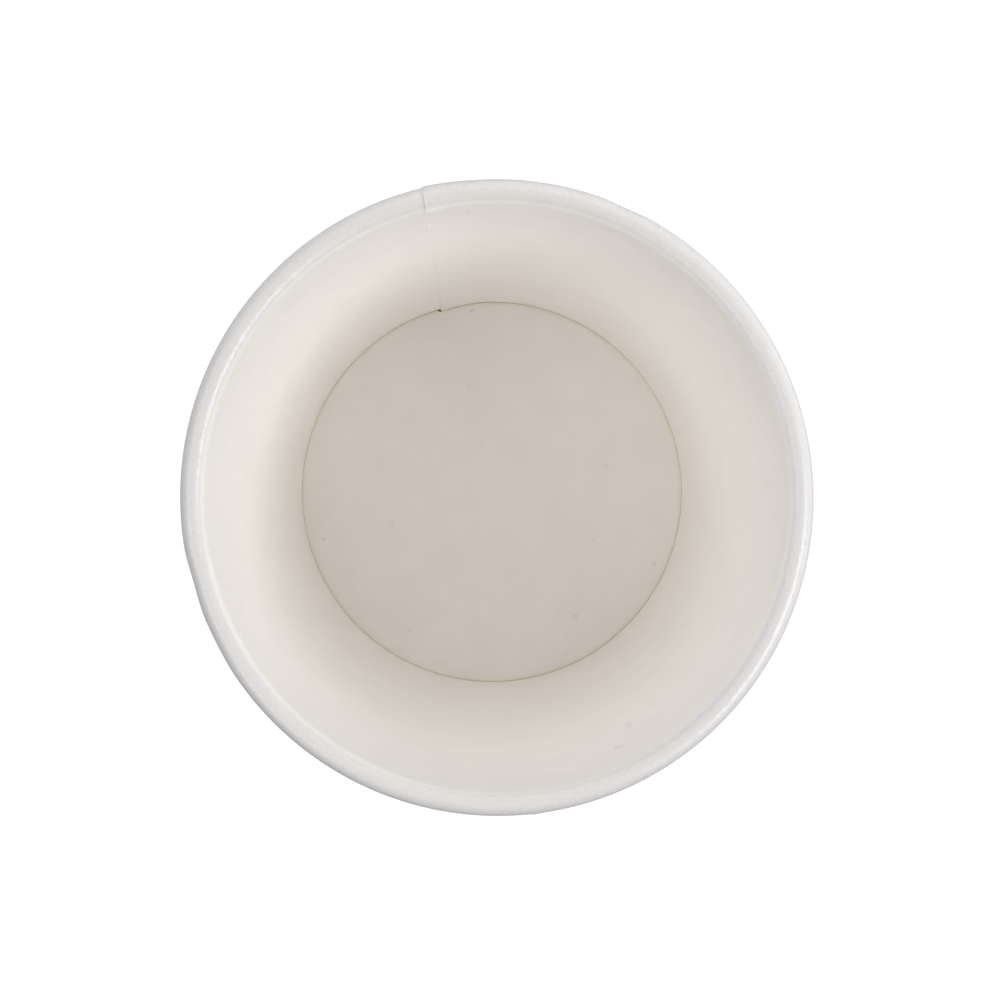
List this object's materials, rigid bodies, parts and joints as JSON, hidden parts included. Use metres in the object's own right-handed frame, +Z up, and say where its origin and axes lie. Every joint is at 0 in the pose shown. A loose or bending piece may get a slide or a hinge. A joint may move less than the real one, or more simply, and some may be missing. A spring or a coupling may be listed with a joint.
{
  "type": "paper cup",
  "caption": "Plain white single-wall paper cup for hot drinks, tapered, with a rolled rim, a lapped side seam and a recessed base disc.",
  "frame": {"origin": "centre of the foot, on the surface that the cup stands on", "axes": "+Z up the cup's axis to the rim, +Y through the middle of the lapped side seam"},
  "size_m": [0.08, 0.0802, 0.0923],
  "materials": {
    "wall_board": "satin polyethylene coating on white paperboard",
    "base_board": "satin polyethylene coating on white paperboard"
  },
  "bodies": {
    "root": {"side_wall": "wall_board", "base_disc": "base_board"}
  },
  "joints": []
}
